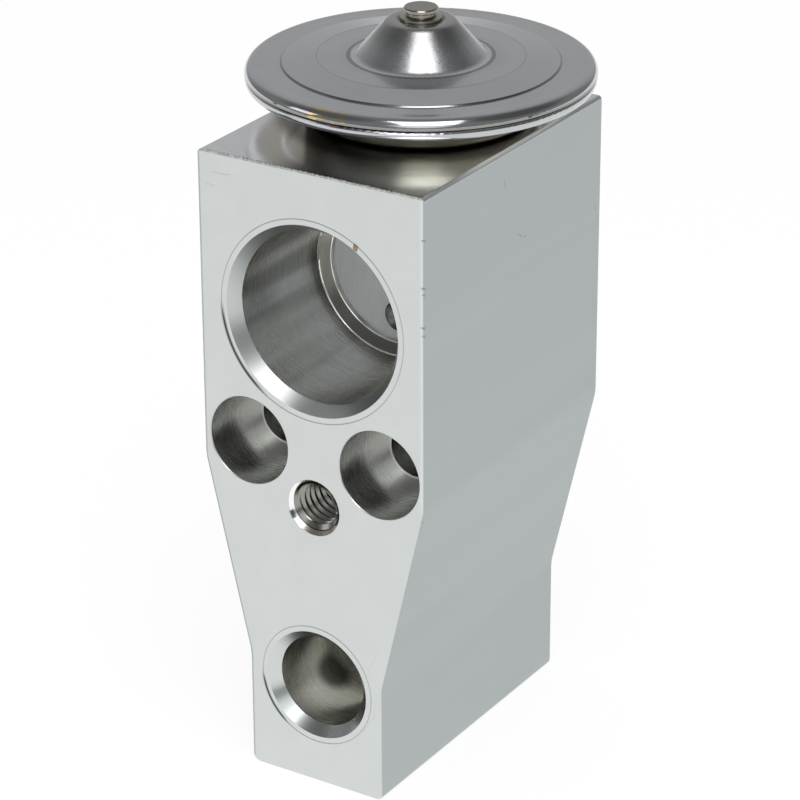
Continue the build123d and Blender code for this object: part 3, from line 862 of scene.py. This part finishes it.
def turned_finish(name, colour, roughness, along, cycles=3800.0, depth=0.0016 * MM):
    """Bright turned metal with uneven tool rings along one axis."""
    f = Finish(name)
    marks = f.rings({"y": f.y, "z": f.z}[along], cycles)
    cloud = f.noise(300.0, detail=3.0)
    shade = f.tint(f.times(marks, cloud), scaled(colour, 0.88), scaled(colour, 1.1))
    f.relief((marks, depth))
    return f.metal(shade, f.add(roughness, f.times(cloud, 0.12)))


def threaded_finish(name, colour, roughness, pitch, thread_low, thread_high):
    """Turned metal with a fine thread between two heights."""
    f = Finish(name)
    turn = f.math("ARCTAN2", f.minus(f.y, AXIS_Y), f.x)
    climb = f.minus(f.math("DIVIDE", f.z, pitch), f.math("DIVIDE", turn, 2.0 * math.pi))
    ridge = f.math("PINGPONG", climb, 0.5)
    upright = f.rise(f.math("ABSOLUTE", f.nz), 0.5, 0.2)
    thread = f.times(ridge, upright, f.band(f.z, thread_low, thread_high, 0.1 * MM))
    marks = f.rings(f.z, 3600.0)
    cloud = f.noise(300.0, detail=3.0)
    shade = f.tint(cloud, scaled(colour, 0.86), scaled(colour, 1.08))
    f.relief((thread, 0.6 * pitch), (marks, 0.0012 * MM))
    return f.metal(shade, f.add(roughness, f.times(cloud, 0.12)))


def rubber_finish(finishes):
    """Moulded seal rubber, matt with a faint bloom."""
    f = Finish("seal_rubber")
    cloud = f.noise(900.0, detail=3.0)
    shade = f.tint(cloud, finishes.rubber, scaled(finishes.rubber, 2.2))
    f.relief((f.noise(6000.0, detail=2.0), 0.002 * MM))
    return f.metal(shade, f.add(0.42, f.times(cloud, 0.2)), metallic=0.0)


# Meshes


def make_piece(name, vertices, faces, material, smooth=True):
    """New mesh object in the scene."""
    mesh = bpy.data.meshes.new(name)
    mesh.from_pydata(vertices, [], faces)
    mesh.materials.append(material)
    mesh.polygons.foreach_set("use_smooth", [smooth] * len(mesh.polygons))
    mesh.update()
    piece = bpy.data.objects.new(name, mesh)
    bpy.context.scene.collection.objects.link(piece)
    return piece


def thread_mesh(sizes):
    """Ridge of an inner thread, wound down the stud hole and cut back by the hole's mouth."""
    buried = 0.03 * MM
    wall = STUD_RADIUS + buried
    crest = wall - buried - sizes.thread_depth
    pitch = sizes.thread_pitch
    steps = 72
    count = int(sizes.thread_length / pitch * steps)
    first_depth = 0.35 * MM
    flank, flat = 0.45 * pitch, 0.07 * pitch
    vertices, faces = [], []
    for i in range(count + 1):
        turn = 2.0 * math.pi * i / steps
        depth = first_depth + pitch * i / steps
        row = []
        for offset, radius in ((-flank, wall), (-flat, crest), (flat, crest), (flank, wall)):
            here = max(depth + offset, 0.0)
            row.append((here, min(wall, max(radius, STUD_MOUTH - here))))
        for here, radius in row:
            x = radius * math.cos(turn)
            vertices.append((x, FRONT_Y + here, STUD_Z + radius * math.sin(turn)))
        if i:
            base = 4 * i
            for k in range(3):
                faces.append((base + k, base + k + 1, base + k - 3, base + k - 4))
    faces.append((0, 1, 2, 3))
    last = 4 * count
    faces.append((last + 3, last + 2, last + 1, last))
    return vertices, faces


def spring_mesh(sizes):
    """Wire of the valve spring, ground flat at both ends."""
    wire = sizes.spring_wire
    centre = (SPRING_HIGH.x - SPRING_LOW.x) / 2 - wire
    height = SPRING_HIGH.z - SPRING_LOW.z
    around, steps = 14, 40
    count = int(sizes.spring_turns * steps)
    vertices, faces = [], []
    for i in range(count + 1):
        share = i / count
        bearing = 2.0 * math.pi * sizes.spring_turns * share
        out = Vector((math.cos(bearing), math.sin(bearing), 0.0))
        middle = Vector((0.0, AXIS_Y, SPRING_LOW.z + height * share)) + out * centre
        for k in range(around):
            turn = 2.0 * math.pi * k / around
            point = middle + (out * math.cos(turn) + Vector((0.0, 0.0, math.sin(turn)))) * wire
            point.z = min(max(point.z, SPRING_LOW.z), SPRING_HIGH.z)
            vertices.append(point)
        if i:
            for k in range(around):
                k2 = (k + 1) % around
                a, b = (i - 1) * around, i * around
                faces.append((a + k, a + k2, b + k2, b + k))
    faces.append(tuple(reversed(range(around))))
    faces.append(tuple(count * around + k for k in range(around)))
    return vertices, faces


def burr_mesh(seed):
    """Saw-tooth burr that the milling cutter left along the front top edge."""
    rng = random.Random(seed)
    vertices, faces = [], []
    seat, under = FRONT_Y + 0.25 * MM, FRONT_Y + 0.02 * MM
    x = -14.2 * MM
    end = BLOCK_HIGH.x - 0.6 * MM
    while x < end:
        span = rng.uniform(0.3, 0.55) * MM
        height = rng.uniform(0.08, 0.3) * MM
        reach = rng.uniform(0.06, 0.2) * MM
        lean = rng.uniform(0.2, 0.8)
        tip_x = x + span * lean
        low = TOP_Z - rng.uniform(0.12, 0.3) * MM
        base = len(vertices)
        vertices += [
            (x, seat, TOP_Z - 0.02 * MM),
            (x + span, seat, TOP_Z - 0.02 * MM),
            (x + span, under, low),
            (x, under, low),
            (tip_x, FRONT_Y - reach * 0.3, TOP_Z + height * 0.5),
            (tip_x, FRONT_Y + 0.08 * MM, TOP_Z + height * 0.4),
        ]
        for face in ((0, 1, 5), (3, 4, 2), (0, 5, 4, 3), (1, 2, 4, 5), (0, 3, 2, 1)):
            faces.append(tuple(base + k for k in face))
        x += span * rng.uniform(0.85, 1.3)
    return vertices, faces


def sliver_mesh(middle, spread, seed):
    """Small irregular chip lying at a point."""
    rng = random.Random(seed)
    bm = bmesh.new()
    bmesh.ops.create_icosphere(bm, subdivisions=2, radius=1.0)
    for vertex in bm.verts:
        jolt = rng.uniform(0.7, 1.25)
        vertex.co = Vector(middle) + Vector(
            (vertex.co.x * spread[0], vertex.co.y * spread[1], vertex.co.z * spread[2])
        ) * jolt
    bm.verts.index_update()
    vertices = [tuple(vertex.co) for vertex in bm.verts]
    faces = [tuple(vertex.index for vertex in face.verts) for face in bm.faces]
    bm.free()
    return vertices, faces


# Operators


class VALVE_OT_dress_block(bpy.types.Operator):
    """Give the block its milled, extruded and turned aluminium"""

    bl_idname = "valve.dress_block"
    bl_label = "Dress Block"

    def execute(self, context):
        dress("valve_body", block_finish(context.scene.valve_finishes, context.scene.valve_sizes))
        return {"FINISHED"}


class VALVE_OT_dress_head(bpy.types.Operator):
    """Give the power head and its plug their steels"""

    bl_idname = "valve.dress_head"
    bl_label = "Dress Head"

    def execute(self, context):
        finishes = context.scene.valve_finishes
        dress("upper_cover", cover_finish(finishes, context.scene.valve_sizes))
        dress("lower_case", case_finish(finishes))
        dress("charge_plug", plug_finish(finishes))
        return {"FINISHED"}


class VALVE_OT_dress_inner(bpy.types.Operator):
    """Give the inner pieces their turned metals and rubber"""

    bl_idname = "valve.dress_inner"
    bl_label = "Dress Inner Pieces"

    def execute(self, context):
        finishes = context.scene.valve_finishes
        bright = turned_finish("inner_steel", STEEL_BRIGHT, 0.16, "z")
        rod = turned_finish("rod_aluminium", (0.76, 0.77, 0.77), 0.2, "z")
        ball = turned_finish("ball_steel", (0.8, 0.8, 0.8), 0.04, "z", depth=0.0002 * MM)
        plate = turned_finish("brass_plate", finishes.brass, 0.2, "z")
        neck = threaded_finish(
            "neck_steel", STEEL_BRIGHT, 0.2, 1.0 * MM, NECK_FOOT, TOP_Z - 0.4 * MM
        )
        screw = threaded_finish(
            "screw_brass", finishes.brass, 0.2, 1.0 * MM, SCREW_FOOT, SCREW_FOOT + 3.3 * MM
        )
        rubber = rubber_finish(finishes)
        for material, node_names in (
            (bright, ("diaphragm", "valve_rod", "push_nut", "ball_carrier", "damper_spring")),
            (rubber, ("head_seal", "rod_seal", "screw_seal")),
            (neck, ("neck_ring",)),
            (plate, ("stopper_plate",)),
            (rod, ("sensing_rod",)),
            (ball, ("valve_ball",)),
            (screw, ("adjusting_screw",)),
        ):
            for node_name in node_names:
                dress(node_name, material)
        return {"FINISHED"}


class VALVE_OT_wind_spring(bpy.types.Operator):
    """Wind the valve spring"""

    bl_idname = "valve.wind_spring"
    bl_label = "Wind Spring"

    def execute(self, context):
        wire = turned_finish("spring_steel", (0.6, 0.6, 0.6), 0.2, "z", cycles=1500.0)
        spring = make_piece("spring_coil", *spring_mesh(context.scene.valve_sizes), wire)
        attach(spring, "block")
        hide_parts("valve_spring")
        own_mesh(spring)
        return {"FINISHED"}


class VALVE_OT_cut_thread(bpy.types.Operator):
    """Wind the thread down the stud hole"""

    bl_idname = "valve.cut_thread"
    bl_label = "Cut Stud Thread"

    def execute(self, context):
        # Painted shade: the thread gets a dark aluminium colour for the shade down the stud hole
        bright = turned_finish("thread_aluminium", (0.34, 0.34, 0.31), 0.16, "y", cycles=900.0)
        mesh = thread_mesh(context.scene.valve_sizes)
        thread = make_piece("stud_thread", *mesh, bright, smooth=False)
        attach(thread, "block")
        return {"FINISHED"}


class VALVE_OT_mark_edges(bpy.types.Operator):
    """Add the burr along the front top edge and two chips"""

    bl_idname = "valve.mark_edges"
    bl_label = "Mark Edges"

    def execute(self, context):
        seed = context.scene.valve_sizes.burr_seed
        bright = turned_finish("burr_aluminium", (0.55, 0.56, 0.53), 0.25, "y", cycles=900.0)
        tan = turned_finish("chip_tan", (0.42, 0.33, 0.22), 0.45, "y", cycles=900.0)
        burr = make_piece("edge_burr", *burr_mesh(seed), bright, smooth=False)
        corner = (BLOCK_HIGH.x - 1.1 * MM, FRONT_Y + 0.1 * MM, TOP_Z - 0.02 * MM)
        corner_chip = make_piece(
            "corner_chip", *sliver_mesh(corner, (0.3 * MM, 0.12 * MM, 0.14 * MM), seed), bright
        )
        mouth = (6.0 * MM, FRONT_Y - 0.02 * MM, SUCTION_Z + 10.3 * MM)
        mouth_chip = make_piece(
            "mouth_chip", *sliver_mesh(mouth, (0.3 * MM, 0.1 * MM, 0.42 * MM), seed + 1), tan
        )
        for piece in (burr, corner_chip, mouth_chip):
            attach(piece, "block")
        return {"FINISHED"}


# Stage

# Grey of the room that the polished metal shows, and areas of it that are darker or lighter:
# azimuth and elevation of the middle, inner and outer angle round it in degrees, and grey
ROOM_GREY = 0.24
ROOM_AREAS = (
    (212.0, 25.0, 20.0, 50.0, 0.47),
    (113.0, 46.0, 16.0, 36.0, 0.11),
    (-49.0, 46.0, 14.0, 34.0, 0.13),
    (32.0, 27.0, 8.0, 22.0, 1.15),
)
# Height of the point that the lamps look at
LAMP_AIM = 45.0 * MM


def floor_finish(colour, glow, shown):
    """Pale floor. What camera, glossy and transmitted rays see glows by the share given."""
    f = Finish("floor_pale")
    seen = f.seen()
    f.metal(f.tint(seen, colour, scaled(colour, shown)), 0.9, metallic=0.0)
    f.surface.inputs["Specular IOR Level"].default_value = 0.0
    f.surface.inputs["Emission Color"].default_value = (1.0, 1.0, 1.0, 1.0)
    f.plug(f.surface.inputs["Emission Strength"], f.times(seen, glow))
    return f.material


def floor_plane(material, side):
    """Level floor under the part."""
    half = side / 2
    corners = [(-half, -half, 0), (half, -half, 0), (half, half, 0), (-half, half, 0)]
    floor = make_piece("floor", corners, [(0, 1, 2, 3)], material, smooth=False)
    floor.location.z = BLOCK_LOW.z


def direction(azimuth, elevation):
    """Unit vector, from degrees round the part from its front and degrees above the floor."""
    a, e = math.radians(azimuth), math.radians(elevation)
    return Vector((math.sin(a) * math.cos(e), -math.cos(a) * math.cos(e), math.sin(e)))


def room_finish(base, areas):
    """Dim grey room. Each area is (azimuth, elevation, inner and outer degrees, grey)."""
    f = Finish("room_grey")
    grey = base
    for azimuth, elevation, inner, outer, level in areas:
        along = f.towards(direction(azimuth, elevation))
        inside = f.rise(along, math.cos(math.radians(outer)), math.cos(math.radians(inner)))
        grey = f.blend(inside, grey, level)
    f.metal((0.0, 0.0, 0.0), 1.0, metallic=0.0)
    f.surface.inputs["Specular IOR Level"].default_value = 0.0
    f.surface.inputs["Emission Color"].default_value = (0.97, 0.99, 1.0, 1.0)
    f.plug(f.surface.inputs["Emission Strength"], grey)
    return f.material


def room_dome(material, radius, height):
    """Room round the part, which shows in the polished metal alone and blocks no light."""
    turns, rows = 64, 16
    vertices, faces = [], []
    for row in range(rows + 1):
        for step in range(turns):
            vertices.append(direction(360.0 * step / turns, 90.0 * row / rows) * radius)
            if row:
                a, b = (row - 1) * turns, row * turns
                after = (step + 1) % turns
                faces.append((a + step, b + step, b + after, a + after))
    room = make_piece("room", vertices, faces, material)
    room.location.z = height
    room.visible_camera = False
    room.visible_diffuse = False
    room.visible_shadow = False


def add_lamp(name, azimuth, elevation, distance, width, height, radiance):
    """Soft box that looks at the part from a direction."""
    data = bpy.data.lights.new(name, "AREA")
    data.shape = "RECTANGLE"
    data.size = width
    data.size_y = height
    data.energy = radiance * math.pi * width * height
    lamp = bpy.data.objects.new(name, data)
    bpy.context.scene.collection.objects.link(lamp)
    out = direction(azimuth, elevation)
    lamp.location = Vector((0.0, 0.0, LAMP_AIM)) + out * distance
    lamp.rotation_mode = "QUATERNION"
    lamp.rotation_quaternion = out.to_track_quat("Z", "Y")


def light_world(strength):
    """World that lights softly and shows white to the camera and in the metals."""
    world = bpy.data.worlds.new("studio")
    tree = Tree(world)
    level = tree.nodes.new("ShaderNodeMapRange")
    level.inputs["To Min"].default_value = strength
    level.inputs["To Max"].default_value = 1.0
    tree.plug(level.inputs["Value"], tree.seen())
    ground = tree.nodes["Background"]
    tree.plug(ground.inputs["Strength"], level.outputs["Result"])
    ground.inputs["Color"].default_value = (1.0, 1.0, 1.0, 1.0)
    bpy.context.scene.world = world


def add_camera(stage):
    """Camera at the photograph's viewing angle."""
    back = direction(math.degrees(stage.azimuth), math.degrees(stage.elevation))
    right = Vector((math.cos(stage.azimuth), math.sin(stage.azimuth), 0.0))
    up = back.cross(right)
    turned_right = right * math.cos(stage.roll) + up * math.sin(stage.roll)
    turned_up = up * math.cos(stage.roll) - right * math.sin(stage.roll)
    data = bpy.data.cameras.new("camera")
    data.lens = stage.lens
    data.sensor_width = 36.0
    data.clip_start = 0.01
    data.clip_end = 20.0
    camera = bpy.data.objects.new("camera", data)
    bpy.context.scene.collection.objects.link(camera)
    turn = Matrix((turned_right, turned_up, back)).transposed().to_4x4()
    place = Vector(stage.aim) + back * stage.distance
    camera.matrix_world = Matrix.Translation(place) @ turn
    bpy.context.scene.camera = camera


class VALVE_OT_set_stage(bpy.types.Operator):
    """Set the floor, the soft lights, the grey room and the camera"""

    bl_idname = "valve.set_stage"
    bl_label = "Set Stage"

    def execute(self, context):
        stage = context.scene.valve_stage
        floor_plane(floor_finish(stage.floor_colour, glow=0.86, shown=0.25), side=4.0)
        light_world(0.45)
        add_lamp("key_light", 38.0, 58.0, distance=0.7, width=0.38, height=0.52, radiance=2.8)
        add_lamp("fill_light", -51.0, 22.0, distance=1.1, width=0.36, height=0.36, radiance=1.2)
        room_dome(room_finish(ROOM_GREY, ROOM_AREAS), radius=1.9, height=0.05)
        context.scene.view_settings.view_transform = "Standard"
        add_camera(stage)
        return {"FINISHED"}


# Panel


class VALVE_PT_looks(bpy.types.Panel):
    """Steps and settings of the valve's looks"""

    bl_idname = "VALVE_PT_looks"
    bl_label = "Expansion Valve"
    bl_space_type = "VIEW_3D"
    bl_region_type = "UI"
    bl_category = "Valve"

    def draw(self, context):
        layout = self.layout
        for operator in OPERATORS:
            layout.operator(operator.bl_idname)
        scene = context.scene
        for group in (scene.valve_sizes, scene.valve_finishes, scene.valve_stage):
            box = layout.box()
            for name in group.bl_rna.properties.keys():
                if name not in ("rna_type", "name"):
                    box.prop(group, name)


OPERATORS = (
    VALVE_OT_dress_block,
    VALVE_OT_dress_head,
    VALVE_OT_dress_inner,
    VALVE_OT_wind_spring,
    VALVE_OT_cut_thread,
    VALVE_OT_mark_edges,
    VALVE_OT_set_stage,
)
CLASSES = (ValveSizes, ValveFinishes, ValveStage, *OPERATORS, VALVE_PT_looks)


def register():
    for cls in CLASSES:
        bpy.utils.register_class(cls)
    bpy.types.Scene.valve_sizes = PointerProperty(type=ValveSizes)
    bpy.types.Scene.valve_finishes = PointerProperty(type=ValveFinishes)
    bpy.types.Scene.valve_stage = PointerProperty(type=ValveStage)


def unregister():
    del bpy.types.Scene.valve_stage
    del bpy.types.Scene.valve_finishes
    del bpy.types.Scene.valve_sizes
    for cls in reversed(CLASSES):
        bpy.utils.unregister_class(cls)


def main():
    register()
    bpy.ops.valve.dress_block()
    bpy.ops.valve.dress_head()
    bpy.ops.valve.dress_inner()
    bpy.ops.valve.wind_spring()
    bpy.ops.valve.cut_thread()
    bpy.ops.valve.mark_edges()
    bpy.ops.valve.set_stage()


if __name__ == "__main__":
    main()
